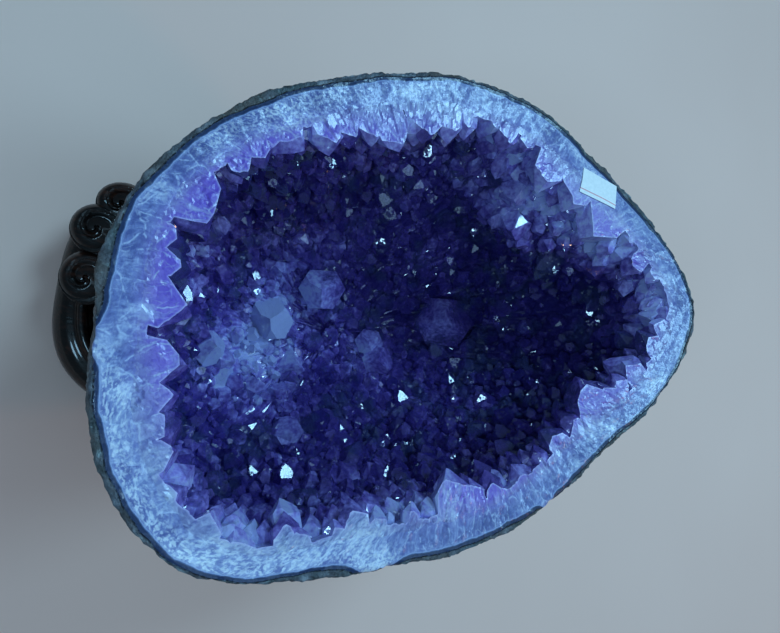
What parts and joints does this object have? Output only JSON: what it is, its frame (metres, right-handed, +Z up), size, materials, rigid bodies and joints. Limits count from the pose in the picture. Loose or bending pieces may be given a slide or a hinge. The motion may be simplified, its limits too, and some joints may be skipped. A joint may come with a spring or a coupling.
{
  "type": "amethyst geode bowl on a wooden stand",
  "caption": "Half of an amethyst geode, cut open as a bowl and lined with purple crystals, resting on an oval carved wooden stand.",
  "frame": {"origin": "on the surface that the stand rests on, under the middle of the object's box", "axes": "+Z up, out of the bowl; +Y along the bowl's long way, towards its raised pointed end"},
  "size_m": [0.2116, 0.2766, 0.2079],
  "materials": {
    "geode_rock": "rough dark rind outside; sawn and smoothed pale lavender quartz on the cut face",
    "amethyst": "glassy crystal faces, deep violet at the tips and pale at the roots",
    "label_paper": "matt white paper",
    "dark_wood": "very dark red-brown hardwood, carved and polished"
  },
  "bodies": {
    "root": {"geode_shell": "geode_rock", "amethyst_crust": "amethyst", "paper_label": "label_paper", "stand_base": "dark_wood", "cloud_bracket_front": "dark_wood", "cloud_bracket_left": "dark_wood", "cloud_bracket_back": "dark_wood", "cloud_bracket_right": "dark_wood"}
  },
  "joints": []
}
